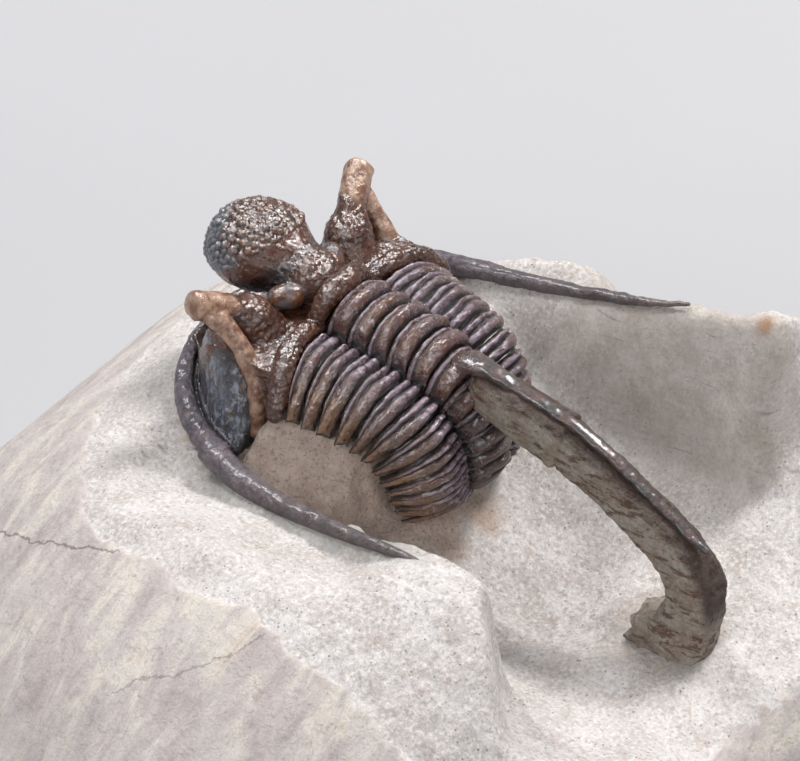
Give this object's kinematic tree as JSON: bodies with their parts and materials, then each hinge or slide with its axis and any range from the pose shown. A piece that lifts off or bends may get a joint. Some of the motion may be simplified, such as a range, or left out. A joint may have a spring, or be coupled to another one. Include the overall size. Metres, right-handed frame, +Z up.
{
  "type": "fossil trilobite on matrix",
  "caption": "Spiny trilobite fossil standing free above its limestone matrix, with a long dorsal spine, horned head, curved cheek spines and a carved hollow around the body.",
  "frame": {"origin": "middle of the sawn flat underside of the stone", "axes": "+Z up from the underside, +Y the way the trilobite faces, -X its left side"},
  "size_m": [0.0438, 0.043, 0.0217],
  "materials": {
    "fossil_shell": "glossy brown fossil shell with lilac-grey ridges and small warts",
    "cheek_shell": "blue-grey to dark grey polished shell",
    "matrix_stone": "pale abraded limestone inside a smoother lilac-grey outer skin with tan streaks",
    "strut_stone": "rough green-grey limestone with a beige mended joint"
  },
  "bodies": {
    "root": {"matrix_block": "matrix_stone", "cranidium": "fossil_shell", "free_cheek_left": "cheek_shell", "free_cheek_right": "cheek_shell", "thoracic_segment_01": "fossil_shell", "thoracic_segment_02": "fossil_shell", "thoracic_segment_03": "fossil_shell", "thoracic_segment_04": "fossil_shell", "thoracic_segment_05": "fossil_shell", "thoracic_segment_06": "fossil_shell", "thoracic_segment_07": "fossil_shell", "thoracic_segment_08": "fossil_shell", "thoracic_segment_09": "fossil_shell", "thoracic_segment_10": "fossil_shell", "thoracic_segment_11": "fossil_shell", "pygidium": "fossil_shell", "spine_strut": "strut_stone"}
  },
  "joints": []
}
